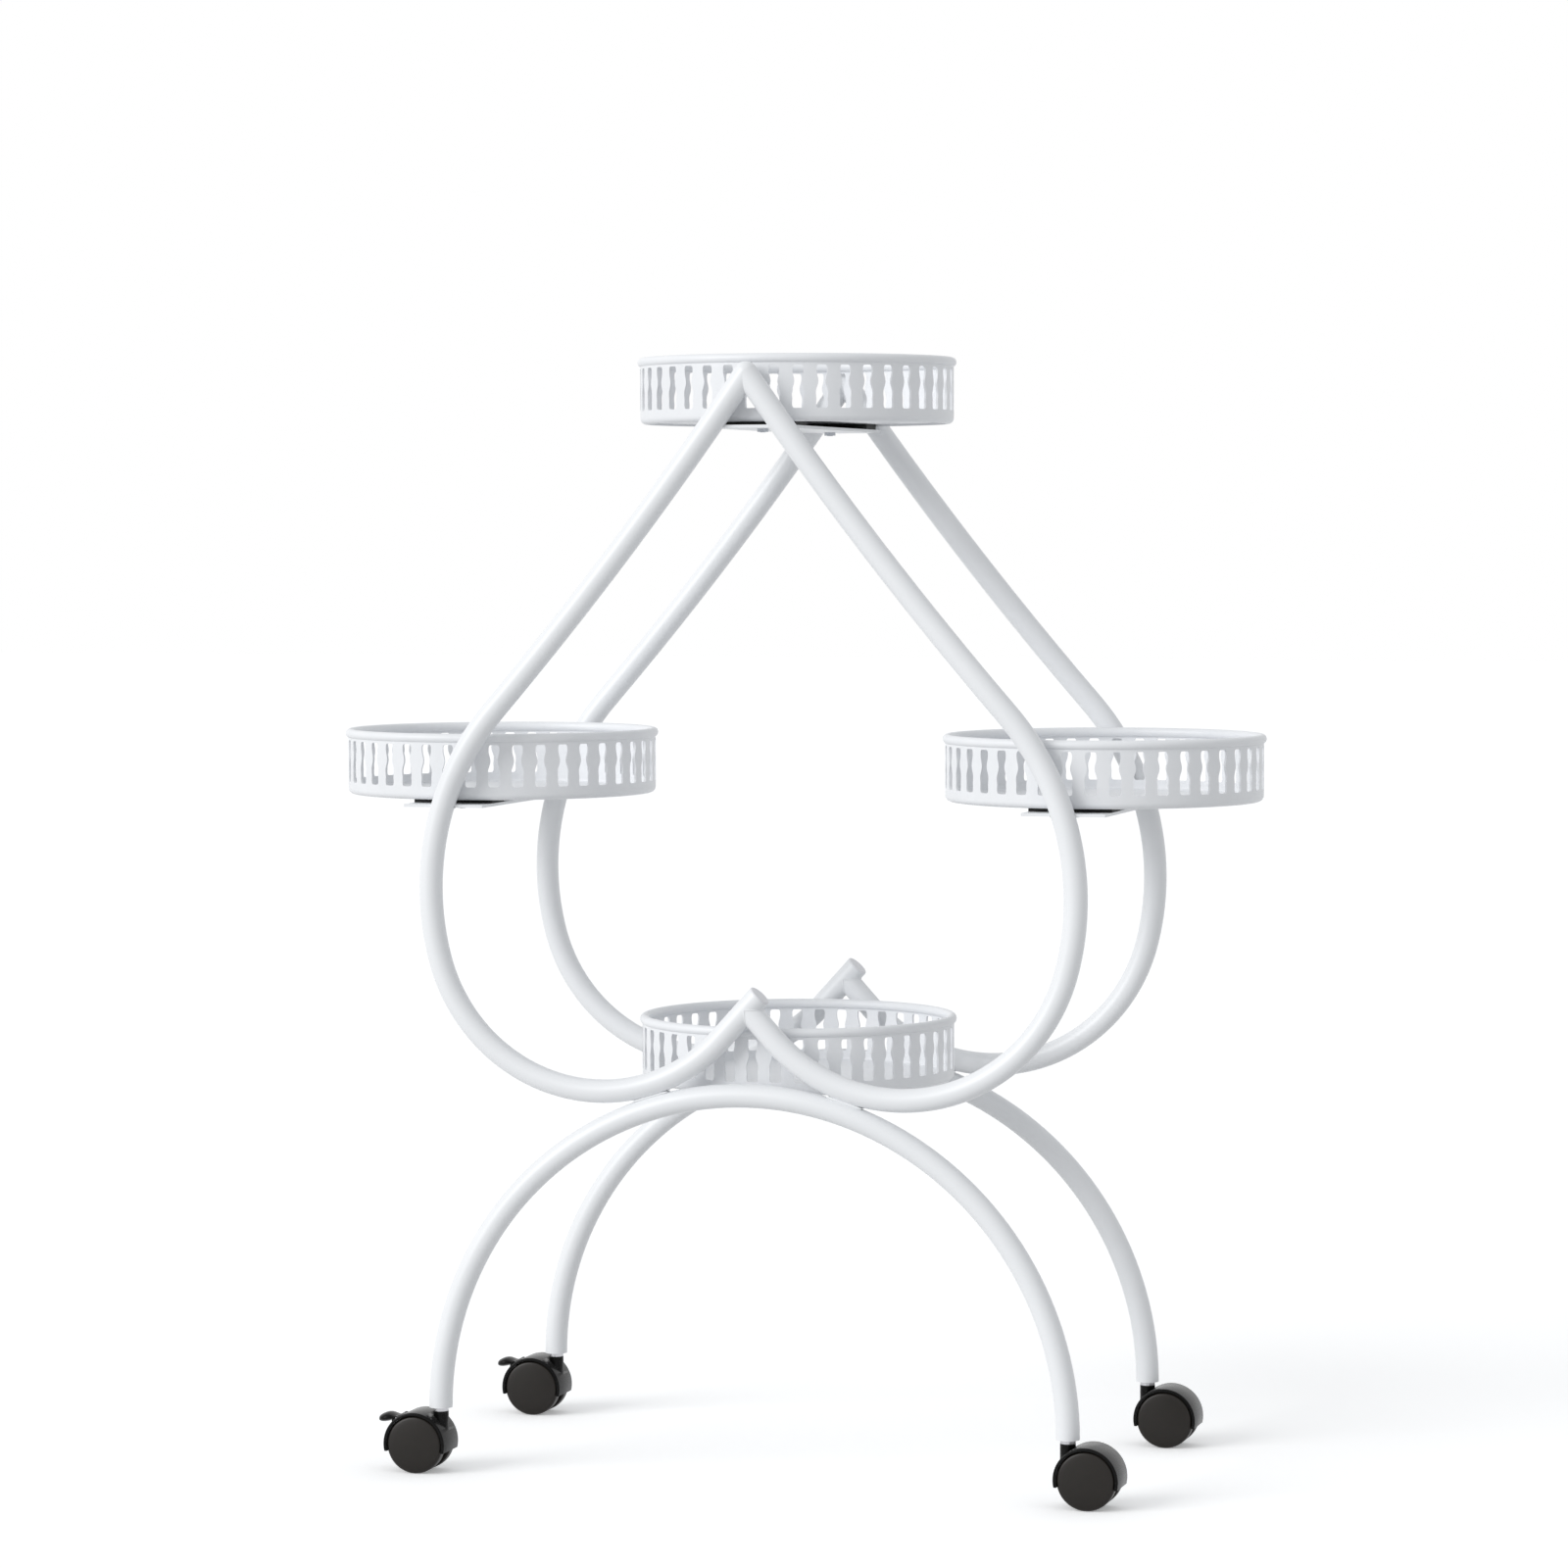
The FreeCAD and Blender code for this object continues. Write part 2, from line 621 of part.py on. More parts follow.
# Casters: a hood with neck and web turns on the stem; two wheels turn on its axle.
def caster_hood(x, y, axle_x, braked):
    half = "dims.hood_width / 2"
    drum = cross_cylinder("places.hood_radius", f"{y} - {half}", "dims.hood_width", axle_x, "places.wheel_radius")
    recess = primitive(
        "Cone",
        Radius1="dims.neck_diameter / 2",
        Radius2="dims.neck_diameter / 2 + dims.neck_recess_width",
        Height="dims.neck_recess_depth",
    )
    place(recess, x, y, "places.neck_top - dims.neck_recess_depth")
    neck_height = "places.neck_top - places.wheel_radius"
    solids = [
        cut(drum, recess),
        cylinder("dims.neck_diameter / 2", neck_height, x, y, "places.wheel_radius"),
    ]
    leg_room = "dims.neck_diameter / 2 + dims.neck_recess_width"
    tools = [cylinder(leg_room, "places.hood_radius", x, y, "places.neck_top")]
    over = "2 * (places.hood_radius + dims.cut_overrun)"
    tools.append(box(
        over,
        over,
        "places.hood_radius",
        f"{axle_x} - {over} / 2",
        f"{y} - {over} / 2",
        "places.wheel_radius - dims.hood_skirt - places.hood_radius",
    ))
    well_depth = "dims.hood_width"
    for start in (f"{y} + places.web_thickness / 2", f"{y} - places.web_thickness / 2 - {well_depth}"):
        tools.append(cross_cylinder("places.well_radius", start, well_depth, axle_x, "places.wheel_radius"))
    bore = "dims.pin_diameter / 2 + dims.running_clearance"
    depth = "places.neck_top - places.pin_end + dims.end_clearance + dims.cut_overrun"
    tools.append(cylinder(bore, depth, x, y, "places.pin_end - dims.end_clearance"))
    tools.append(cylinder(
        "dims.pin_diameter / 2 + dims.ring_depth + dims.end_clearance",
        "dims.ring_height + 2 * dims.end_clearance",
        x,
        y,
        "places.ring_z - dims.end_clearance",
    ))
    start = f"{y} - places.web_thickness / 2 - dims.cut_overrun"
    length = "places.web_thickness + 2 * dims.cut_overrun"
    tools.append(cross_cylinder("dims.axle_diameter / 2", start, length, axle_x, "places.wheel_radius"))
    if braked:
        pivot_x = f"{axle_x} - places.pivot_x"
        pivot_z = "places.wheel_radius + places.pivot_z"
        for start in (f"{y} + places.window_width / 2", f"{y} - places.window_width / 2 - dims.ear_thickness"):
            solids.append(cross_cylinder("dims.ear_diameter / 2", start, "dims.ear_thickness", pivot_x, pivot_z))
        window_floor = "(places.wheel_radius - dims.window_depth + dims.hood_gap)"
        window = box(
            "dims.window_length",
            "places.window_width",
            "dims.hood_wall + dims.window_depth + dims.cut_overrun",
            f"{axle_x} - {window_floor} * cos(dims.window_angle)"
            " - dims.window_length / 2 * sin(dims.window_angle)",
            f"{y} - places.window_width / 2",
            f"places.wheel_radius + {window_floor} * sin(dims.window_angle)"
            " - dims.window_length / 2 * cos(dims.window_angle)",
        )
        window.Placement.Rotation = FreeCAD.Rotation(FreeCAD.Vector(0, -1, 0), value("90 - dims.window_angle"))
        window.setExpression("Placement.Rotation.Angle", "90 - dims.window_angle")
        tools.append(window)
        start = f"{y} - places.window_width / 2 - dims.ear_thickness - dims.cut_overrun"
        length = "places.window_width + 2 * (dims.ear_thickness + dims.cut_overrun)"
        tools.append(cross_cylinder("dims.lever_pin_diameter / 2", start, length, pivot_x, pivot_z))
    return cut(fuse(*solids), *tools)


def caster_wheel(name, way):
    body = new_body(name)
    bore = "dims.axle_diameter / 2 + dims.running_clearance"
    hub = "dims.hub_diameter / 2"
    disc = "places.wheel_outer - dims.wheel_disc_thickness"
    rim = "places.wheel_radius - dims.wheel_rim_thickness"
    edge = "places.wheel_radius - dims.wheel_rim_round"
    corners = (
        ("0", "places.wheel_inner + dims.bore_depth"),
        (bore, "places.wheel_inner + dims.bore_depth"),
        (bore, "places.wheel_inner"),
        (hub, "places.wheel_inner"),
        (hub, disc),
        (rim, disc),
        (rim, "places.wheel_inner"),
        (edge, "places.wheel_inner"),
        ("places.wheel_radius", "places.wheel_inner + dims.wheel_rim_round"),
        ("places.wheel_radius", "places.wheel_outer - dims.wheel_rim_round"),
        (edge, "places.wheel_outer"),
        ("0", "places.wheel_outer + dims.wheel_crown"),
    )
    revolve(body, "XY_Plane", "Y_Axis", tuple((r, f"{way} * ({along})") for r, along in corners))
    return body


def brake_lever(name):
    body = new_body(name)
    barrel_sketch = new_sketch(body, "XZ_Plane")
    draw_circle(barrel_sketch, "-places.pivot_x", "places.pivot_z", "places.barrel_radius")
    barrel = body.newObject("PartDesign::Pad", "barrel")
    barrel.Profile = barrel_sketch
    barrel.Midplane = True
    bind(barrel, Length="dims.lever_width")
    crest = "-places.pivot_x - dims.paddle_crest_share * dims.lever_reach"
    tip = "-places.pivot_x - dims.lever_reach"
    tip_z = "places.pivot_z - dims.paddle_droop"
    arm_sketch = new_sketch(body, "XZ_Plane")
    draw_outline(arm_sketch, (
        ("-places.pivot_x", "places.pivot_z + places.barrel_radius"),
        (crest, "places.pivot_z + dims.paddle_thickness / 2"),
        (tip, f"{tip_z} + dims.paddle_tip_thickness / 2"),
        (tip, f"{tip_z} - dims.paddle_tip_thickness / 2"),
        (crest, "places.pivot_z - dims.paddle_thickness / 2"),
        (
            "-places.shoe_outer_radius * cos(dims.lever_angle - dims.shoe_outer_angle)",
            "places.shoe_outer_radius * sin(dims.lever_angle - dims.shoe_outer_angle)",
        ),
        (
            "-places.shoe_inner_radius * cos(dims.lever_angle - dims.shoe_inner_angle)",
            "places.shoe_inner_radius * sin(dims.lever_angle - dims.shoe_inner_angle)",
        ),
        ("-places.pivot_x + places.barrel_radius / 2", "places.pivot_z"),
    ))
    arm = body.newObject("PartDesign::Pad", "arm")
    arm.Profile = arm_sketch
    arm.Midplane = True
    bind(arm, Length="dims.lever_width")
    hole_sketch = new_sketch(body, "XZ_Plane")
    bore = "dims.lever_pin_diameter / 2 + dims.running_clearance"
    draw_circle(hole_sketch, "-places.pivot_x", "places.pivot_z", bore)
    hole = body.newObject("PartDesign::Pocket", "pin_hole")
    hole.Profile = hole_sketch
    hole.Midplane = True
    bind(hole, Length="dims.lever_width + dims.cut_overrun")
    doc.recompute()
    reach = value(tip) + value("dims.weld_gap")
    upright = []
    for index, edge in enumerate(hole.Shape.Edges, start=1):
        if edge.BoundBox.XMax < reach and edge.BoundBox.YLength < value("dims.weld_gap"):
            upright.append(f"Edge{index}")
    rounded = body.newObject("PartDesign::Fillet", "tip_round")
    rounded.Base = (hole, upright)
    bind(rounded, Radius="dims.paddle_round")
    return body


for end, way in FRONT_REAR:
    for half, side in LEFT_RIGHT:
        name = f"{end}_{half}"
        x = f"{side} * dims.arch_radius"
        y = f"{way} * places.frame_offset"
        axle_x = f"{side} * (dims.arch_radius + dims.trail)"
        node(caster_hood(x, y, axle_x, side < 0), f"{name}_caster_hood")
        start = f"{y} - places.axle_half"
        axle = cross_cylinder("dims.axle_diameter / 2", start, "2 * places.axle_half", axle_x, "places.wheel_radius")
        node(axle, f"{name}_axle")
        for twin, out in (("fore", -1), ("aft", 1)):
            wheel = caster_wheel(f"{name}_{twin}", out)
            place(wheel, axle_x, y, "places.wheel_radius")
            node(wheel, f"{name}_{twin}_wheel")
        if side < 0:
            lever = brake_lever(f"{name}_lever")
            place(lever, axle_x, y, "places.wheel_radius")
            node(lever, f"{name}_brake_lever")
            start = f"{y} - places.window_width / 2 - dims.ear_thickness"
            length = "places.window_width + 2 * dims.ear_thickness"
            pivot_x = f"{axle_x} - places.pivot_x"
            pivot_z = "places.wheel_radius + places.pivot_z"
            pin = cross_cylinder("dims.lever_pin_diameter / 2", start, length, pivot_x, pivot_z)
            node(pin, f"{name}_brake_pin")

doc.recompute()
for thing in doc.Objects:
    if "Invalid" in thing.State or "Error" in thing.State:
        raise RuntimeError(f"{thing.Label}: {thing.State}")
for thing in nodes:
    if thing.Shape.isNull() or not thing.Shape.isValid():
        raise RuntimeError(f"{thing.Label} has no valid shape")

os.makedirs("parts", exist_ok=True)
for thing in nodes:
    thing.Shape.exportStep(f"parts/{thing.Label}.step")
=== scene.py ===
import bmesh
import bpy
import math
from mathutils import Matrix, Vector


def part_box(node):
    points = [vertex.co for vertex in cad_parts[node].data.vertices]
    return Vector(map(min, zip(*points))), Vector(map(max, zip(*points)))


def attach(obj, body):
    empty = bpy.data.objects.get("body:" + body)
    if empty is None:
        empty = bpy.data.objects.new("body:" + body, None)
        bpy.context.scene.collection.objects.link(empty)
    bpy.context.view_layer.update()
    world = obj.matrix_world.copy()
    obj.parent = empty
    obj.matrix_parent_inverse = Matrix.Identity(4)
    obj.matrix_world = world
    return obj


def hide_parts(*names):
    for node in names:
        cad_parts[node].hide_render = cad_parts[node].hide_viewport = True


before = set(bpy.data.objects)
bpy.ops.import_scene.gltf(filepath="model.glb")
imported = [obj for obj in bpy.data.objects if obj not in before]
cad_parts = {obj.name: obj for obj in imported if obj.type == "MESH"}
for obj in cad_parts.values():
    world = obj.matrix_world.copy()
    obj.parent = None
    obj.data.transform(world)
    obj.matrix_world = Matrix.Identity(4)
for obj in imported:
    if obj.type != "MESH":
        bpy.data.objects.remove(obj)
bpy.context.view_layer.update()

# Hearts: each half is one round steel tube, bent from the cusp round the lobe and the shoulder up to the
# apex. There the two halves are mitred, welded and ground round, and the whole frame is powder coated.
TUBE_RADIUS = 0.008
TUBE_FACETS = 48
FRAME_OFFSET = 0.1183
LEG_END = 0.045
ARCH_RADIUS = 0.2215
LOBE_RADIUS = 0.1185
LOBE_X = 0.1058
WELD_GAP = 0.0001
LOBE_JOIN = math.radians(15)
SHOULDER_RADIUS = 0.1846
SHOULDER_SLOPE = math.radians(41.6)
FLARE_RADIUS = 2.65
CUSP_SLOPE = math.radians(42.5)
CUSP_OVERRUN = 0.008
LOBE_REACH = ARCH_RADIUS + LOBE_RADIUS + 2 * TUBE_RADIUS + WELD_GAP
LOBE_Z = LEG_END + math.sqrt(LOBE_REACH ** 2 - LOBE_X ** 2)
SHOULDER_X = LOBE_X + (LOBE_RADIUS - SHOULDER_RADIUS) * math.cos(LOBE_JOIN)
SHOULDER_Z = LOBE_Z - (LOBE_RADIUS - SHOULDER_RADIUS) * math.sin(LOBE_JOIN)
FLARE_X = SHOULDER_X + (SHOULDER_RADIUS + FLARE_RADIUS) * math.cos(SHOULDER_SLOPE)
FLARE_Z = SHOULDER_Z + (SHOULDER_RADIUS + FLARE_RADIUS) * math.sin(SHOULDER_SLOPE)
APEX_Z = FLARE_Z - math.sqrt(FLARE_RADIUS ** 2 - FLARE_X ** 2)
APEX_SLOPE = math.acos(FLARE_X / FLARE_RADIUS)
CUSP_X = LOBE_X - LOBE_RADIUS * math.cos(CUSP_SLOPE)
CUSP_Z = LOBE_Z - LOBE_RADIUS * math.sin(CUSP_SLOPE)
CROSSING_Z = CUSP_Z + CUSP_X / math.tan(CUSP_SLOPE)
ENDS = (("front", -1), ("rear", 1))
SIDES = (("left", -1), ("right", 1))
SMOOTH_ANGLE = math.radians(38)


def linear(colour):
    """Linear RGBA of a hex sRGB colour."""
    parts = [int(colour[i:i + 2], 16) / 255 for i in (1, 3, 5)]
    return [p / 12.92 if p <= 0.04045 else ((p + 0.055) / 1.055) ** 2.4 for p in parts] + [1.0]


def add_node(tree, kind, inputs, **settings):
    """Adds a node; an input is set to a value, or linked from a (node, output) pair."""
    node = tree.nodes.new(kind)
    for name, value in settings.items():
        setattr(node, name, value)
    sockets = {socket.identifier: socket for socket in node.inputs}
    for name, value in inputs.items():
        if isinstance(value, tuple):
            source, output = value
            outputs = {socket.identifier: socket for socket in source.outputs}
            tree.links.new(outputs[output], sockets[name])
        else:
            sockets[name].default_value = value
    return node


def empty_tree(owner):
    owner.use_nodes = True
    owner.node_tree.nodes.clear()
    return owner.node_tree


def surface(name, pale, dark, patch, grain, relief, **shading):
    """A finish of two close tones in soft patches with a fine grain, all three given in real sizes."""
    material = bpy.data.materials.new(name)
    tree = empty_tree(material)
    place = add_node(tree, "ShaderNodeTexCoord", {})
    patches = {"Vector": (place, "Object"), "Scale": 1 / patch, "Detail": 3.0}
    slow = add_node(tree, "ShaderNodeTexNoise", patches)
    tones = {"Factor_Float": (slow, "Fac"), "A_Color": linear(pale), "B_Color": linear(dark)}
    tone = add_node(tree, "ShaderNodeMix", tones, data_type="RGBA")
    grains = {"Vector": (place, "Object"), "Scale": 1 / grain, "Detail": 2.0}
    fine = add_node(tree, "ShaderNodeTexNoise", grains)
    bump = add_node(tree, "ShaderNodeBump", {"Height": (fine, "Fac"), "Strength": 1.0, "Distance": relief})
    inputs = {"Base Color": (tone, "Result_Color"), "Normal": (bump, "Normal")}
    inputs.update({name.replace("_", " "): value for name, value in shading.items()})
    shader = add_node(tree, "ShaderNodeBsdfPrincipled", inputs)
    add_node(tree, "ShaderNodeOutputMaterial", {"Surface": (shader, "BSDF")})
    return material


def settle(piece, material, body, slot, *nodes):
    """Gives a finished piece its material, its body and the nodes that it stands for; its slot is not used.
    """
    bpy.ops.object.select_all(action="DESELECT")
    piece.select_set(True)
    bpy.context.view_layer.objects.active = piece
    bpy.ops.object.transform_apply(location=True, rotation=True, scale=True)
    bpy.ops.object.shade_smooth_by_angle(angle=SMOOTH_ANGLE)
    piece.data.materials.clear()
    piece.data.materials.append(material)
    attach(piece, body)
    if nodes:
        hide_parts(*nodes)


# Polyester powder coat, sprayed and baked: its soft gloss is broken up by a slight waviness of about 3 mm.
tube_coat = surface(
    "white powder coat on tube", "#f0f1f3", "#eaecee", patch=0.06, grain=0.003, relief=0.000008,
    Roughness=0.36, IOR=1.5,
)


def heart_half(name, side, y, overrun):
    end = Vector((-side * overrun, y, CROSSING_Z + overrun / math.tan(CUSP_SLOPE)))
    lean = side * (math.pi - CUSP_SLOPE)
    bpy.ops.object.select_all(action="DESELECT")
    bpy.ops.mesh.primitive_circle_add(
        vertices=TUBE_FACETS, radius=TUBE_RADIUS, location=end, rotation=(0, lean, 0)
    )
    tube = bpy.context.object
    tube.name = name
    bpy.ops.object.transform_apply(location=True, rotation=True, scale=True)
    bpy.ops.object.mode_set(mode="EDIT")
    bpy.ops.mesh.select_all(action="SELECT")
    run = Vector((side * CUSP_X, y, CUSP_Z)) - end
    bpy.ops.mesh.extrude_region_move(TRANSFORM_OT_translate={"value": run})
    for x, z, turn, steps in (
        (LOBE_X, LOBE_Z, math.pi - CUSP_SLOPE - LOBE_JOIN, 64),
        (SHOULDER_X, SHOULDER_Z, LOBE_JOIN + SHOULDER_SLOPE, 32),
        (FLARE_X, FLARE_Z, APEX_SLOPE - SHOULDER_SLOPE, 12),
    ):
        bpy.ops.mesh.spin(steps=steps, angle=side * turn, center=(side * x, y, z), axis=(0, 1, 0))
    bpy.ops.mesh.select_all(action="SELECT")
    bpy.ops.mesh.normals_make_consistent(inside=False)
    bpy.ops.mesh.bisect(plane_co=(0, y, APEX_Z), plane_no=(side, 0, 0))
    mesh = bmesh.from_edit_mesh(tube.data)
    low = APEX_Z - 3 * TUBE_RADIUS
    for vertex in mesh.verts:
        vertex.select_set(vertex.co.z > low and side * vertex.co.x < -1e-7)
    mesh.select_flush_mode()
    bpy.ops.mesh.delete(type="VERT")
    bpy.ops.mesh.primitive_uv_sphere_add(
        segments=TUBE_FACETS, ring_count=TUBE_FACETS // 2, radius=TUBE_RADIUS, location=(0, y, APEX_Z),
        rotation=(math.pi / 2, 0, 0),
    )
    bpy.ops.mesh.bisect(plane_co=(0, y, APEX_Z), plane_no=(-side, 0, 0), clear_outer=True)
    bpy.ops.object.mode_set(mode="OBJECT")
    return tube


for end, way in ENDS:
    for half, side in SIDES:
        name = f"{end}_heart_{half}"
        tube = heart_half(name, side, way * FRAME_OFFSET, CUSP_OVERRUN if side < 0 else 0)
        settle(tube, tube_coat, "frame", "white_coat", f"{name}_tube")

# Cusp plugs: moulded polyethylene caps with a rounded crown, pushed into the open ends of the left tubes
# where these run past the cusps.
PLUG_CROWN = 0.0015
PLUG_ROUND = 0.0012

# White polyethylene: softer and a little greyer than the coat beside it, with the fine grain of its mould.
plug_plastic = surface(
    "white moulded polyethylene", "#ededef", "#e4e4e8", patch=0.01, grain=0.0011, relief=0.00002,
    Roughness=0.48, IOR=1.51,
)
for end, way in ENDS:
    tip = (CUSP_OVERRUN, way * FRAME_OFFSET, CROSSING_Z + CUSP_OVERRUN / math.tan(CUSP_SLOPE))
    bpy.ops.object.select_all(action="DESELECT")
    bpy.ops.mesh.primitive_cylinder_add(
        vertices=TUBE_FACETS, radius=TUBE_RADIUS, depth=PLUG_CROWN, location=(0, 0, PLUG_CROWN / 2)
    )
    plug = bpy.context.object
    plug.name = f"{end}_plug"
    bpy.ops.object.transform_apply(location=True, rotation=True, scale=True)
    bpy.ops.object.mode_set(mode="EDIT")
    mesh = bmesh.from_edit_mesh(plug.data)
    bpy.ops.mesh.select_all(action="DESELECT")
    for edge in mesh.edges:
        edge.select_set(all(vertex.co.z > PLUG_CROWN / 2 for vertex in edge.verts))
    bpy.ops.mesh.bevel(offset=PLUG_ROUND, segments=4)
    bpy.ops.object.mode_set(mode="OBJECT")
    plug.location = tip
    plug.rotation_euler = (0, CUSP_SLOPE, 0)
    settle(plug, plug_plastic, "frame", "white_plastic", f"{end}_cusp_plug")

# Arches: half circles of the same tube that carry the hearts. Their open ends are the legs, sawn square,
# with the wall of the tube showing round a plastic insert.
TUBE_WALL = 0.0012
END_DEPTH = 0.004
for end, way in ENDS:
    y = way * FRAME_OFFSET
    bpy.ops.object.select_all(action="DESELECT")
    bpy.ops.mesh.primitive_circle_add(
        vertices=TUBE_FACETS, radius=TUBE_RADIUS, location=(ARCH_RADIUS, y, LEG_END)
    )
    arch = bpy.context.object
    arch.name = f"{end}_arch"
    bpy.ops.object.transform_apply(location=True, rotation=True, scale=True)
    bpy.ops.object.mode_set(mode="EDIT")
    bpy.ops.mesh.select_all(action="SELECT")
    bpy.ops.mesh.spin(steps=90, angle=math.pi, center=(0, y, LEG_END), axis=(0, 1, 0))
    for _, side in SIDES:
        mesh = bmesh.from_edit_mesh(arch.data)
        bpy.ops.mesh.select_all(action="DESELECT")
        for edge in mesh.edges:
            edge.select_set(all(abs(v.co.z - LEG_END) < 1e-5 and side * v.co.x > 0 for v in edge.verts))
        inner = 1 - TUBE_WALL / TUBE_RADIUS
        bpy.ops.mesh.extrude_region_move(TRANSFORM_OT_translate={"value": (0, 0, 0)})
        bpy.ops.transform.resize(value=(inner, inner, 1))
        bpy.ops.mesh.extrude_region_move(TRANSFORM_OT_translate={"value": (0, 0, END_DEPTH)})
    bpy.ops.mesh.select_all(action="SELECT")
    bpy.ops.mesh.normals_make_consistent(inside=False)
    bpy.ops.object.mode_set(mode="OBJECT")
    settle(arch, tube_coat, "frame", "white_coat", f"{end}_arch_tube")

# Leg inserts and stems: a nylon plug in each leg takes the thread of a turned steel stem, whose pin
# carries the caster and is held in it by a snap ring.
# Black nylon is dull and slightly grained; bright steel is smooth, with fine turning marks.
insert_nylon = surface(
    "black moulded nylon", "#1d1d1d", "#151515", patch=0.01, grain=0.0006, relief=0.00003,
    Roughness=0.5, IOR=1.53,
)
stem_steel = surface(
    "bright turned steel", "#c9c9cc", "#b7b7bb", patch=0.004, grain=0.0004, relief=0.00001,
    Roughness=0.28, Metallic=1.0,
)
for end, _ in ENDS:
    for half, _ in SIDES:
        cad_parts[f"{end}_{half}_leg_insert"].data.materials[0] = insert_nylon
        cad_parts[f"{end}_{half}_caster_stem"].data.materials[0] = stem_steel
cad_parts["stem_snap_rings"].data.materials[0] = stem_steel

# Trays: a band of sheet steel, pierced all round with baluster openings, its top edge rolled over a wire
# and its foot turned in, and a base with an upturned lip that lies in the foot.
# One tray is made and copied to four places.
TRAY_RADIUS = 0.11
GALLERY_HEIGHT = 0.04559
WIRE_PROUD = 0.0018
BAND_OUTER = TRAY_RADIUS - WIRE_PROUD
BAND_WALL = 0.0015
BAND_BEND = 0.004
BAND_FLANGE = 0.001
WIRE_RADIUS = 0.00324
SLOT_COUNT = 42
SLOT_FOOT = 0.0089
SLOT_HEIGHT = 0.029
# An opening from its foot to its head: share of the height, and width.
BALUSTER = (
    (0.0, 0.0052), (0.012, 0.0066), (0.04, 0.0076), (0.09, 0.008), (0.15, 0.0079), (0.21, 0.0076),
    (0.27, 0.008), (0.34, 0.0084), (0.41, 0.0081), (0.48, 0.0068), (0.55, 0.0054), (0.62, 0.0048),
    (0.69, 0.0053), (0.77, 0.0066), (0.84, 0.0073), (0.92, 0.0074), (0.965, 0.0069), (0.99, 0.006),
    (1.0, 0.0048),
)
BASE_WALL = 0.001
BASE_LIP = 0.007

# The same coat over pressed sheet: a little duller, with a stronger waviness of about 3 mm.
tray_coat = surface(
    "white powder coat on sheet", "#eff0f2", "#e7e9ec", patch=0.02, grain=0.003, relief=0.00005,
    Roughness=0.42, IOR=1.5,
)


def boolean(piece, tool, operation):
    """Joins, cuts or trims a piece with a tool, which is used up."""
    modifier = piece.modifiers.new("boolean", "BOOLEAN")
    modifier.operation = operation
    modifier.object = tool
    modifier.solver = "EXACT"
    bpy.ops.object.select_all(action="DESELECT")
    piece.select_set(True)
    bpy.context.view_layer.objects.active = piece
    bpy.ops.object.modifier_apply(modifier=modifier.name)
    bpy.data.objects.remove(tool)


def arc(x, z, radius, start, stop, steps=6):
    """Points of an arc about (x, z) from one angle to another, in radians."""
    angles = [start + (stop - start) * step / steps for step in range(steps + 1)]
    return [(x + radius * math.cos(a), z + radius * math.sin(a)) for a in angles]


def turned(name, facets, outline):
    """Sweeps an outline of (radius, height) points round Z; its last ring stays selected in edit mode."""
    wide, high = outline[0]
    bpy.ops.object.select_all(action="DESELECT")
    bpy.ops.mesh.primitive_circle_add(vertices=facets, radius=wide, location=(0, 0, high))
    piece = bpy.context.object
    piece.name = name
    bpy.ops.object.transform_apply(location=True, rotation=True, scale=True)
    bpy.ops.object.mode_set(mode="EDIT")
    bpy.ops.mesh.select_all(action="SELECT")
    for reach, level in outline[1:]:
        bpy.ops.mesh.extrude_region_move(TRANSFORM_OT_translate={"value": (0, 0, level - high)})
        bpy.ops.transform.resize(value=(reach / wide, reach / wide, 1))
        wide, high = reach, level
    return piece


foot_bend = arc(BAND_OUTER - BAND_BEND, BAND_BEND, BAND_BEND, 0, -math.pi / 2)
foot_edge = (BAND_OUTER - BAND_BEND - BAND_FLANGE, 0)
band_top = (BAND_OUTER, GALLERY_HEIGHT - WIRE_RADIUS)
gallery = turned("gallery", 8 * SLOT_COUNT, [band_top, *foot_bend, foot_edge])
bpy.ops.mesh.select_all(action="SELECT")
bpy.ops.mesh.normals_make_consistent(inside=False)
bpy.ops.mesh.solidify(thickness=BAND_WALL)
bpy.ops.object.mode_set(mode="OBJECT")

bpy.ops.object.select_all(action="DESELECT")
bpy.ops.mesh.primitive_plane_add(size=1, location=(0, -BAND_OUTER, SLOT_FOOT))
slots = bpy.context.object
slots.scale = (BALUSTER[0][1], 6 * BAND_WALL, 1)
bpy.ops.object.transform_apply(location=True, rotation=True, scale=True)
bpy.ops.object.mode_set(mode="EDIT")
bpy.ops.mesh.select_all(action="SELECT")
for (low, narrow), (high, wide) in zip(BALUSTER, BALUSTER[1:]):
    rise = (high - low) * SLOT_HEIGHT
    bpy.ops.mesh.extrude_region_move(TRANSFORM_OT_translate={"value": (0, 0, rise)})
    bpy.ops.transform.resize(value=(wide / narrow, 1, 1))
bpy.ops.mesh.select_all(action="SELECT")
bpy.ops.mesh.normals_make_consistent(inside=False)
bpy.ops.mesh.spin(
    steps=SLOT_COUNT - 1, dupli=True, angle=2 * math.pi * (SLOT_COUNT - 1) / SLOT_COUNT, center=(0, 0, 0),
    axis=(0, 0, 1),
)
bpy.ops.object.mode_set(mode="OBJECT")
boolean(gallery, slots, "DIFFERENCE")

bpy.ops.object.select_all(action="DESELECT")
bpy.ops.mesh.primitive_torus_add(
    major_segments=4 * SLOT_COUNT, minor_segments=24, major_radius=TRAY_RADIUS - WIRE_RADIUS,
    minor_radius=WIRE_RADIUS, location=(0, 0, GALLERY_HEIGHT - WIRE_RADIUS),
)
gallery.select_set(True)
bpy.context.view_layer.objects.active = gallery
bpy.ops.object.join()

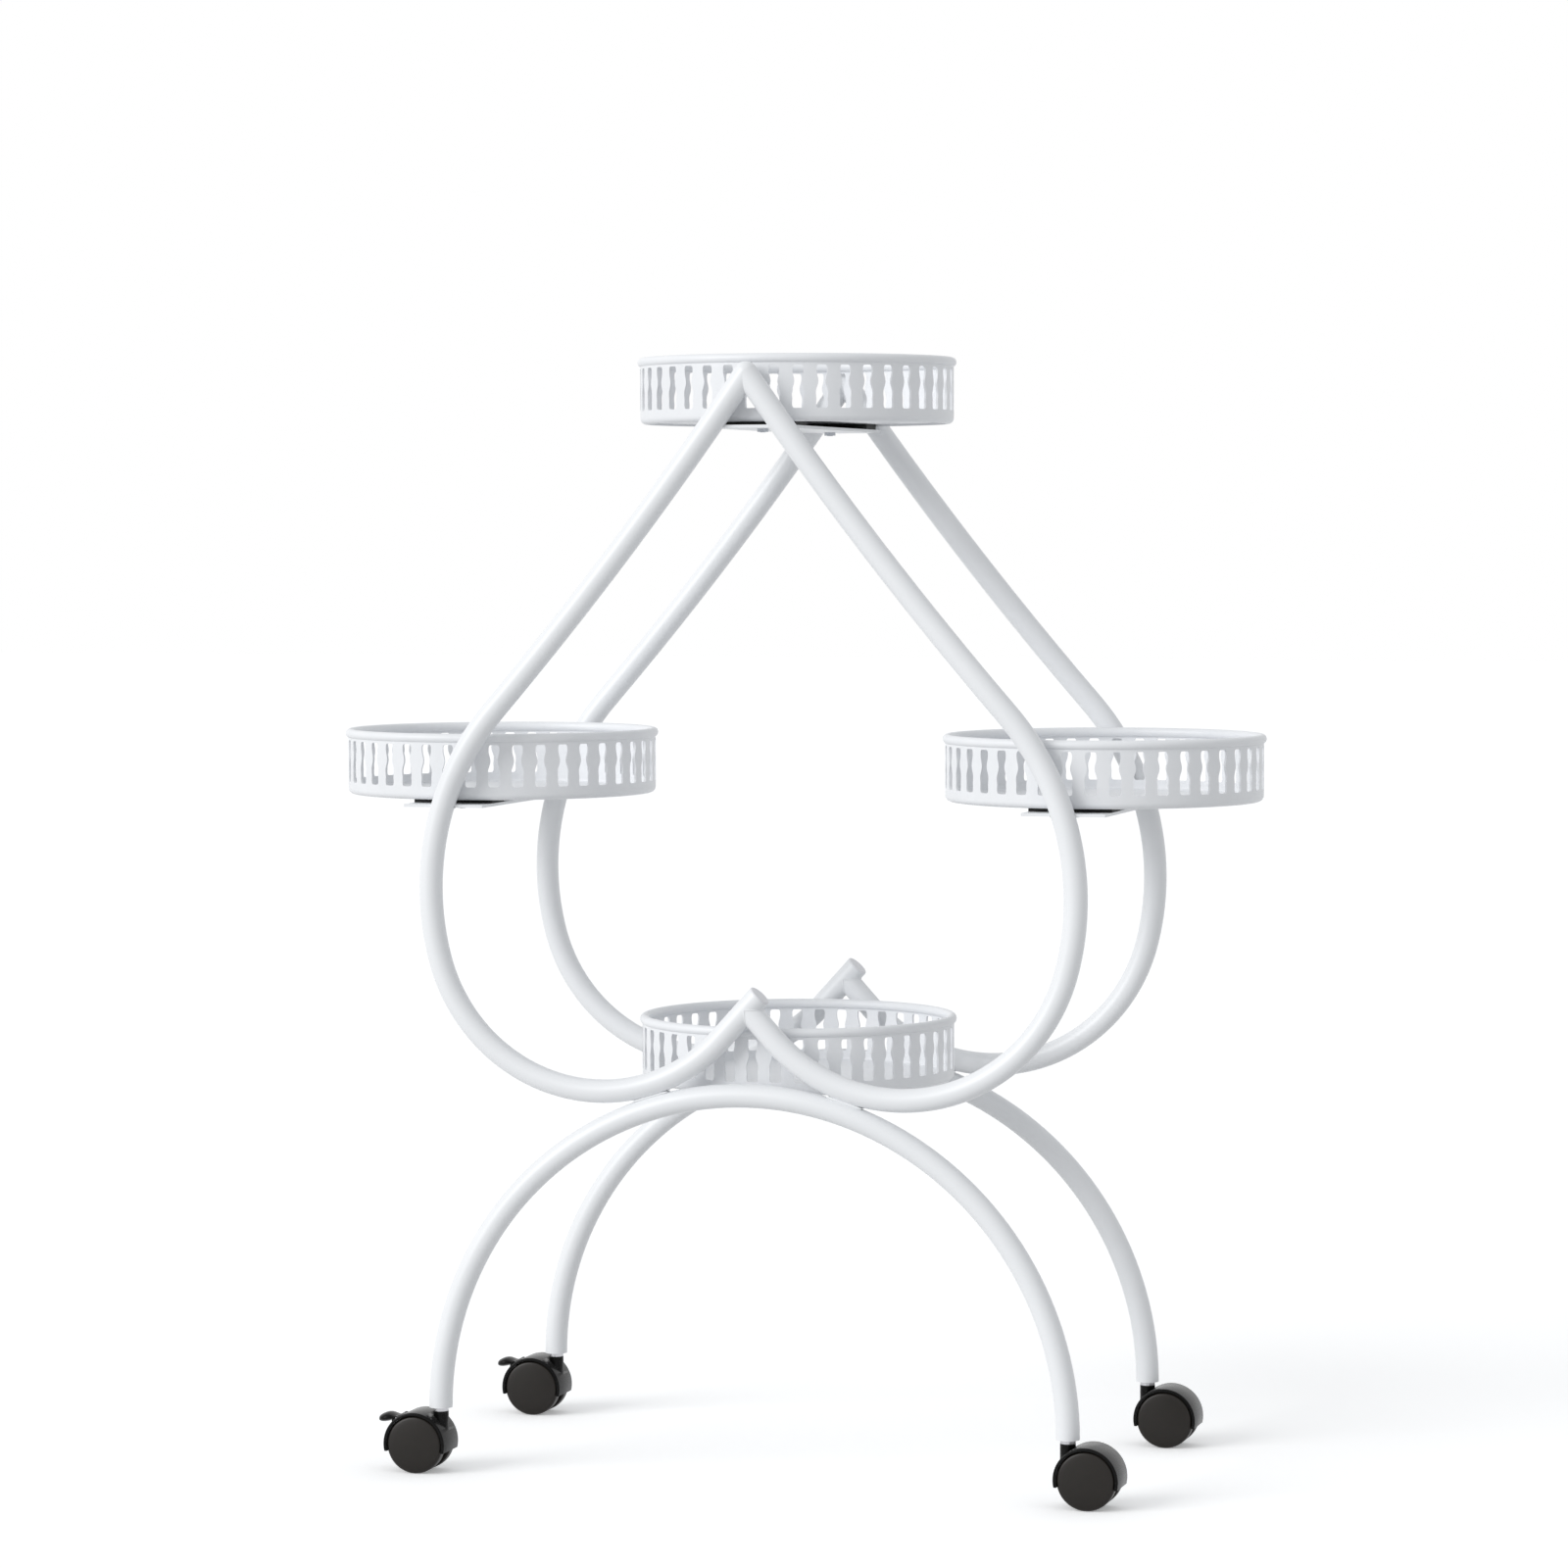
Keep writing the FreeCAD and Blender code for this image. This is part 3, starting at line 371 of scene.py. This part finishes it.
lip_bend = arc(BAND_OUTER - BAND_BEND, BAND_BEND, BAND_BEND - BAND_WALL, 0, -math.pi / 2)
lip_top = (BAND_OUTER - BAND_WALL, BASE_LIP)
base = turned("base", 4 * SLOT_COUNT, [lip_top, *lip_bend, (foot_edge[0], BAND_WALL)])
bpy.ops.mesh.edge_face_add()
bpy.ops.mesh.select_all(action="SELECT")
bpy.ops.mesh.normals_make_consistent(inside=False)
bpy.ops.mesh.solidify(thickness=BASE_WALL)
bpy.ops.object.mode_set(mode="OBJECT")


def fitted_copy(pattern, name, place):
    piece = pattern.copy()
    piece.data = pattern.data.copy()
    piece.name = name
    bpy.context.collection.objects.link(piece)
    piece.matrix_world = place
    return piece


for tray in ("top", "left", "right", "bottom"):
    low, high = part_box(f"{tray}_tray_gallery")
    place = Matrix.Translation(((low[0] + high[0]) / 2, (low[1] + high[1]) / 2, low[2]))
    for pattern in (gallery, base):
        piece = fitted_copy(pattern, f"{tray}_{pattern.name}", place)
        settle(piece, tray_coat, "frame", "white_tray", f"{tray}_tray_{pattern.name}")
bpy.data.objects.remove(gallery)
bpy.data.objects.remove(base)

# Bearers: flat steel bars under the trays, coped to the tubes, with a rubber pad at each end. A stud of
# the tray runs through each pad and bar to a thin zinc-plated nut below.
# Zinc plating is bright grey and slightly cloudy; the rubber is dull black, dusted by its mould.
stud_zinc = surface(
    "zinc plated steel", "#b9bcc2", "#a3a7ad", patch=0.003, grain=0.0007, relief=0.00002,
    Roughness=0.4, Metallic=1.0,
)
pad_rubber = surface(
    "black rubber", "#1b1b1b", "#111111", patch=0.006, grain=0.0005, relief=0.00005, Roughness=0.75, IOR=1.52
)
for tray in ("top", "left", "right", "bottom"):
    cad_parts[f"{tray}_tray_bearer"].data.materials[0] = tube_coat
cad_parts["tray_studs"].data.materials[0] = stud_zinc
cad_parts["tray_nuts"].data.materials[0] = stud_zinc
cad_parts["tray_spacers"].data.materials[0] = pad_rubber

# Welds: thin beads in the crotches of each cusp, rippled seams in the grooves where the lobes lie on the
# arches, and fillets under the bearers where these meet the tubes. They are coated with the frame.
BEAD = 0.0009
BEAD_SINK = 0.0005
SEAM_RADIUS = 0.0009
SEAM_LENGTH = 0.026
RIPPLES = 18
RIPPLE_RINGS = 6
RIPPLE_DEPTH = 0.05
GROOVE_OUT = math.sqrt((TUBE_RADIUS + SEAM_RADIUS / 2) ** 2 - TUBE_RADIUS ** 2)


def close_mesh():
    """Closes the open ends of the mesh in edit mode, turns its faces outward and leaves edit mode."""
    bpy.ops.mesh.select_all(action="SELECT")
    bpy.ops.mesh.fill_holes(sides=0)
    bpy.ops.mesh.normals_make_consistent(inside=False)
    bpy.ops.object.mode_set(mode="OBJECT")


bpy.ops.object.select_all(action="DESELECT")
bpy.ops.mesh.primitive_circle_add(
    vertices=12, radius=BEAD, location=(TUBE_RADIUS - BEAD_SINK, 0, 0), rotation=(math.pi / 2, 0, 0)
)
half_ring = bpy.context.object
bpy.ops.object.transform_apply(location=True, rotation=True, scale=True)
bpy.ops.object.mode_set(mode="EDIT")
bpy.ops.mesh.select_all(action="SELECT")
bpy.ops.mesh.spin(steps=24, angle=-math.pi, center=(0, 0, 0), axis=(0, 0, 1))
close_mesh()

outline = []
for ring in range(RIPPLES * RIPPLE_RINGS + 1):
    along = 2 * ring / (RIPPLES * RIPPLE_RINGS) - 1
    swell = 1 - RIPPLE_DEPTH * math.cos(math.pi * ring / RIPPLE_RINGS) ** 2
    outline.append((SEAM_RADIUS * swell * math.sqrt(1.02 - along ** 6), along * SEAM_LENGTH / 2))
seam = turned("seam", 20, outline)
close_mesh()
seam.rotation_euler = (0, math.pi / 2, 0)
bpy.ops.object.transform_apply(location=True, rotation=True, scale=True)


def round_tube(across, onward, wide, deep, place):
    """Where a half ring goes: its ends across the tube, its bulge onward, stretched both ways."""
    across, onward = Vector(across), Vector(onward)
    turn = Matrix((across, onward, across.cross(onward))).transposed().to_4x4()
    return Matrix.Translation(place) @ turn @ Matrix.Diagonal((wide, deep, 1, 1))


for end, way in ENDS:
    y = way * FRAME_OFFSET
    cusp = (0, y, CROSSING_Z)
    places = [
        (half_ring, round_tube((0, 1, 0), (0, 0, -1), 1, 1 / math.sin(CUSP_SLOPE), cusp)),
        (half_ring, round_tube((0, 1, 0), (1, 0, 0), 1, 1 / math.cos(CUSP_SLOPE), cusp)),
    ]
    for half, side in SIDES:
        lean = math.asin(side * LOBE_X / LOBE_REACH)
        touch = Vector((math.sin(lean), 0, math.cos(lean))) * (ARCH_RADIUS + TUBE_RADIUS)
        for face in (-1, 1):
            spot = touch + Vector((0, y + face * GROOVE_OUT, LEG_END))
            places.append((seam, Matrix.Translation(spot) @ Matrix.Rotation(lean, 4, "Y")))
        low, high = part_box(f"{half}_tray_bearer")
        middle = (low[0] + high[0]) / 2
        slant = math.cos(math.asin((low[2] - SHOULDER_Z) / SHOULDER_RADIUS))
        places.append((half_ring, round_tube((1, 0, 0), (0, -way, 0), 1 / slant, 1, (middle, y, low[2]))))
    beads = [fitted_copy(pattern, f"{end}_welds", place) for pattern, place in places]
    bpy.ops.object.select_all(action="DESELECT")
    for bead in beads:
        bead.select_set(True)
    bpy.context.view_layer.objects.active = beads[0]
    bpy.ops.object.transform_apply(location=True, rotation=True, scale=True)
    bpy.ops.object.join()
    settle(beads[0], tube_coat, "frame", "white_coat")
bpy.data.objects.remove(half_ring)
bpy.data.objects.remove(seam)

# Caster hoods: moulded nylon drums with a neck that turns on the stem and a web that holds the axle.
# The two left hoods have a window for the brake lever, with an ear at each side for its pin.
WHEEL_RADIUS = 0.02
TRAIL = 0.015
HOOD_RADIUS = 0.0222
HOOD_WIDTH = 0.029
HOOD_SKIRT = 0.005
HOOD_ROUND = 0.0009
WELL_RADIUS = 0.0202
WEB = 0.009
NECK_RADIUS = 0.0053
NECK_TOP = 0.0222
RECESS_DEPTH = 0.0034
RECESS_WIDTH = 0.0036
PIVOT_REACH = 0.0221
PIVOT_ANGLE = math.radians(50)
PIVOT_X = PIVOT_REACH * math.cos(PIVOT_ANGLE)
PIVOT_Z = PIVOT_REACH * math.sin(PIVOT_ANGLE)
EAR_RADIUS = 0.0018
EAR_WALL = 0.002
WINDOW_ANGLE = math.radians(48)
WINDOW_LENGTH = 0.012
WINDOW_WIDTH = 0.017
WINDOW_FLOOR = 0.0193
WINDOW_DEPTH = 0.008

# Glass-filled nylon from a spark-eroded mould: near black from the front, greyer at a slant.
hood_nylon = surface(
    "black glass-filled nylon", "#0b0b0b", "#070707", patch=0.006, grain=0.0007, relief=0.00003,
    Roughness=0.24, IOR=1.5, Specular_IOR_Level=0.12, Sheen_Weight=0.18, Sheen_Roughness=0.35,
)


def bar_across(radius, start, stop, x=0.0, z=0.0, rounding=0.0):
    """Adds a round bar along Y, with its end edges rounded if asked."""
    bpy.ops.object.select_all(action="DESELECT")
    bpy.ops.mesh.primitive_cylinder_add(
        vertices=96, radius=radius, depth=stop - start, location=(x, (start + stop) / 2, z),
        rotation=(math.pi / 2, 0, 0),
    )
    bar = bpy.context.object
    bpy.ops.object.transform_apply(location=True, rotation=True, scale=True)
    if rounding:
        bpy.ops.object.mode_set(mode="EDIT")
        mesh = bmesh.from_edit_mesh(bar.data)
        bpy.ops.mesh.select_all(action="DESELECT")
        for edge in mesh.edges:
            edge.select_set(abs(edge.verts[0].co.y - edge.verts[1].co.y) < 1e-6)
        bpy.ops.mesh.bevel(offset=rounding, segments=4)
        bpy.ops.object.mode_set(mode="OBJECT")
    return bar


def caster_hood(braked):
    hood = bar_across(HOOD_RADIUS, -HOOD_WIDTH / 2, HOOD_WIDTH / 2, rounding=HOOD_ROUND)
    bpy.ops.mesh.primitive_cone_add(
        vertices=64, radius1=NECK_RADIUS, radius2=NECK_RADIUS + RECESS_WIDTH, depth=RECESS_DEPTH,
        location=(-TRAIL, 0, NECK_TOP - RECESS_DEPTH / 2),
    )
    boolean(hood, bpy.context.object, "DIFFERENCE")
    bpy.ops.mesh.primitive_cylinder_add(
        vertices=64, radius=NECK_RADIUS, depth=NECK_TOP, location=(-TRAIL, 0, NECK_TOP / 2)
    )
    boolean(hood, bpy.context.object, "UNION")
    if braked:
        for start in (-WINDOW_WIDTH / 2 - EAR_WALL, WINDOW_WIDTH / 2):
            boolean(hood, bar_across(EAR_RADIUS, start, start + EAR_WALL, PIVOT_X, PIVOT_Z), "UNION")
    bpy.ops.mesh.primitive_cube_add(size=4 * HOOD_RADIUS, location=(0, 0, -HOOD_SKIRT - 2 * HOOD_RADIUS))
    boolean(hood, bpy.context.object, "DIFFERENCE")
    for start in (-HOOD_WIDTH, WEB / 2):
        boolean(hood, bar_across(WELL_RADIUS, start, start + HOOD_WIDTH - WEB / 2), "DIFFERENCE")
    if braked:
        reach = WINDOW_FLOOR + WINDOW_DEPTH / 2
        bpy.ops.mesh.primitive_cube_add(
            size=1, location=(reach * math.cos(WINDOW_ANGLE), 0, reach * math.sin(WINDOW_ANGLE)),
            rotation=(0, math.pi / 2 - WINDOW_ANGLE, 0), scale=(WINDOW_LENGTH, WINDOW_WIDTH, WINDOW_DEPTH),
        )
        boolean(hood, bpy.context.object, "DIFFERENCE")
    return hood


def caster_place(side, way, half_turn):
    """Where a caster's axle stands, turned half round if asked."""
    spot = Matrix.Translation((side * (ARCH_RADIUS + TRAIL), way * FRAME_OFFSET, WHEEL_RADIUS))
    return spot @ Matrix.Rotation(math.pi if half_turn else 0.0, 4, "Z")


hoods = {"left": caster_hood(True), "right": caster_hood(False)}
for end, way in ENDS:
    for half, side in SIDES:
        name = f"{end}_{half}"
        hood = fitted_copy(hoods[half], f"{name}_hood", caster_place(side, way, side < 0))
        settle(hood, hood_nylon, f"{name}_caster", "hood_plastic", f"{name}_caster_hood")
for pattern in hoods.values():
    bpy.data.objects.remove(pattern)

# Caster wheels: pairs of moulded nylon wheels on a steel axle, each with a domed outer disc, a rim behind
# it and a hub in the middle.
WHEEL_INNER = 0.005
WHEEL_FACE = 0.01499
DOME_RADIUS = 0.15
DISC_ROUND = 0.0026
DISC_BACK = 0.0104
TREAD_ROUND = 0.0012
RIM_RADIUS = 0.0165
HUB_RADIUS = 0.005
DOME_TOP = math.pi / 2 - 0.004

# Plain nylon: a warm black, duller than the hoods, its mould grain polished by use on the floor.
wheel_nylon = surface(
    "warm black nylon", "#1c1713", "#16130f", patch=0.006, grain=0.0008, relief=0.00003,
    Roughness=0.36, IOR=1.5, Specular_IOR_Level=0.3,
)
dome_z = WHEEL_FACE - DOME_RADIUS
dome_join = math.acos((WHEEL_RADIUS - DISC_ROUND) / (DOME_RADIUS - DISC_ROUND))
edge_z = dome_z + (DOME_RADIUS - DISC_ROUND) * math.sin(dome_join)
wheel = turned("wheel", 96, [
    (HUB_RADIUS, WHEEL_INNER), (HUB_RADIUS, DISC_BACK), (RIM_RADIUS, DISC_BACK), (RIM_RADIUS, WHEEL_INNER),
    *arc(WHEEL_RADIUS - TREAD_ROUND, WHEEL_INNER + TREAD_ROUND, TREAD_ROUND, -math.pi / 2, 0),
    *arc(WHEEL_RADIUS - DISC_ROUND, edge_z, DISC_ROUND, 0, dome_join),
    *arc(0, dome_z, DOME_RADIUS, dome_join, DOME_TOP)[1:],
])
close_mesh()
wheel.rotation_euler = (-math.pi / 2, 0, 0)
bpy.ops.object.transform_apply(location=True, rotation=True, scale=True)
for end, way in ENDS:
    for half, side in SIDES:
        for twin, out in (("fore", -1), ("aft", 1)):
            name = f"{end}_{half}_{twin}"
            disc = fitted_copy(wheel, f"{name}_disc", caster_place(side, way, out < 0))
            settle(disc, wheel_nylon, f"{name}_wheel_body", "wheel_plastic", f"{name}_wheel")
        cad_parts[f"{end}_{half}_axle"].data.materials[0] = stem_steel
bpy.data.objects.remove(wheel)

# Brake levers: leaf-shaped nylon pedals on the two left casters, each swinging on a steel pin through its
# barrel. Pressed down, a shoe under the arm comes to the treads of both wheels.
LEVER_WIDTH = 0.0164
LEVER_REACH = 0.0156
BARREL_RADIUS = 0.0017
BARREL_ROUND = 0.0004
SHOE = (0.0016, 0.0156, 0.002)
SHOE_PLACE = (PIVOT_X + 0.0033, 0, PIVOT_Z - 0.0022)
# The leaf from the pivot to its tip: share of the reach, half width, top and underside.
LEAF = (
    (0.0, 0.0078, 0.0012, -0.0014), (0.15, 0.0072, 0.0013, -0.0018), (0.3, 0.0077, 0.0022, -0.0022),
    (0.45, 0.0081, 0.0031, -0.003), (0.6, 0.0081, 0.0031, -0.0036), (0.75, 0.0074, 0.0023, -0.0039),
    (0.88, 0.0059, 0.0013, -0.0039), (0.96, 0.004, 0.0004, -0.0036), (1.0, 0.002, -0.0005, -0.003),
)

lever = bar_across(BARREL_RADIUS, -LEVER_WIDTH / 2, LEVER_WIDTH / 2, PIVOT_X, PIVOT_Z, BARREL_ROUND)
lever.name = "lever"
bpy.ops.object.select_all(action="DESELECT")
bpy.ops.mesh.primitive_circle_add(vertices=32, radius=1, rotation=(0, math.pi / 2, 0))
leaf = bpy.context.object
bpy.ops.object.transform_apply(location=True, rotation=True, scale=True)
bpy.ops.object.mode_set(mode="EDIT")
bpy.ops.mesh.select_all(action="SELECT")
spot, size = Vector((0, 0, 0)), (1, 1)
for share, half, top, under in LEAF:
    if share:
        bpy.ops.mesh.extrude_region_move()
    place = Vector((PIVOT_X + share * LEVER_REACH, 0, PIVOT_Z + (top + under) / 2))
    bpy.ops.transform.translate(value=place - spot)
    bpy.ops.transform.resize(value=(1, half / size[0], (top - under) / 2 / size[1]))
    spot, size = place, (half, (top - under) / 2)
close_mesh()
smooth = leaf.modifiers.new("smooth", "SUBSURF")
smooth.levels = 2
bpy.ops.object.modifier_apply(modifier=smooth.name)
boolean(lever, leaf, "UNION")
bpy.ops.mesh.primitive_cube_add(size=1, location=SHOE_PLACE, scale=SHOE)
boolean(lever, bpy.context.object, "UNION")
for end, way in ENDS:
    name = f"{end}_left"
    pedal = fitted_copy(lever, f"{name}_lever", caster_place(-1, way, True))
    settle(pedal, hood_nylon, f"{name}_lever_body", "lever_plastic", f"{name}_brake_lever")
    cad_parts[f"{name}_brake_pin"].data.materials[0] = stem_steel
bpy.data.objects.remove(lever)

# Studio: a wide white floor under a pale sky, and one large soft lamp in front, above and to the left.
# Floor and sky are white to the camera and in reflections, and give the object a calmer light.
LAMP_WAY = Vector((0.62, 0.68, -0.39))


def seen_directly(tree):
    """A value that is 1 for camera, glossy and transmission rays and 0 for the light on the object."""
    ray = add_node(tree, "ShaderNodeLightPath", {})
    either = {"Value": (ray, "Is Camera Ray"), "Value_001": (ray, "Is Glossy Ray")}
    mirrored = add_node(tree, "ShaderNodeMath", either, operation="MAXIMUM")
    any_ray = {"Value": (mirrored, "Value"), "Value_001": (ray, "Is Transmission Ray")}
    return add_node(tree, "ShaderNodeMath", any_ray, operation="MAXIMUM")


bpy.ops.object.select_all(action="DESELECT")
bpy.ops.mesh.primitive_plane_add(size=40, location=(0, 0, 0))
floor = bpy.context.object
floor.name = "floor"
paint = bpy.data.materials.new("white floor paint")
tree = empty_tree(paint)
place = add_node(tree, "ShaderNodeTexCoord", {})
grain = add_node(tree, "ShaderNodeTexNoise", {"Vector": (place, "Object"), "Scale": 60.0, "Detail": 2.0})
bump = add_node(tree, "ShaderNodeBump", {"Height": (grain, "Fac"), "Strength": 0.2, "Distance": 0.0002})
matt = add_node(tree, "ShaderNodeBsdfDiffuse", {"Color": linear("#ffffff"), "Normal": (bump, "Normal")})
glow = add_node(tree, "ShaderNodeEmission", {"Color": linear("#ffffff"), "Strength": 0.24})
white = add_node(tree, "ShaderNodeAddShader", {"Shader": (matt, "BSDF"), "Shader_001": (glow, "Emission")})
calm = add_node(tree, "ShaderNodeBsdfDiffuse", {"Color": linear("#d8d8d8")})
shown = {"Fac": (seen_directly(tree), "Value"), "Shader": (calm, "BSDF"), "Shader_001": (white, "Shader")}
both = add_node(tree, "ShaderNodeMixShader", shown)
add_node(tree, "ShaderNodeOutputMaterial", {"Surface": (both, "Shader")})
floor.data.materials.append(paint)

world = bpy.data.worlds.new("pale sky")
bpy.context.scene.world = world
tree = empty_tree(world)
white = add_node(tree, "ShaderNodeBackground", {"Color": linear("#ffffff"), "Strength": 1.0})
calm = add_node(tree, "ShaderNodeBackground", {"Color": linear("#fbfdff"), "Strength": 0.62})
shown = {
    "Fac": (seen_directly(tree), "Value"),
    "Shader": (calm, "Background"),
    "Shader_001": (white, "Background"),
}
both = add_node(tree, "ShaderNodeMixShader", shown)
add_node(tree, "ShaderNodeOutputWorld", {"Surface": (both, "Shader")})

lamp = bpy.data.objects.new("soft lamp", bpy.data.lights.new("soft lamp", "SUN"))
bpy.context.collection.objects.link(lamp)
lamp.data.energy = 1.65
lamp.data.angle = math.radians(36)
lamp.rotation_euler = LAMP_WAY.to_track_quat("-Z", "Y").to_euler()

bpy.context.scene.view_settings.view_transform = "Standard"

# Camera: found from the photograph, a little to the right of the front and almost level.
IMAGE_WIDTH = 1600
FOCAL_PIXELS = 5134
EYE = (1.0068, -3.3322, 0.6512)
TURN = math.radians(16.97)
DIP = math.radians(2.97)
ROLL = math.radians(-0.13)
camera = bpy.data.objects.new("camera", bpy.data.cameras.new("camera"))
bpy.context.collection.objects.link(camera)
camera.data.sensor_width = 36
camera.data.lens = camera.data.sensor_width * FOCAL_PIXELS / IMAGE_WIDTH
camera.data.clip_end = 50
sideways = Matrix.Rotation(TURN, 4, "Z")
down = Matrix.Rotation(math.pi / 2 - DIP, 4, "X")
camera.matrix_world = Matrix.Translation(EYE) @ sideways @ down @ Matrix.Rotation(ROLL, 4, "Z")
bpy.context.scene.camera = camera
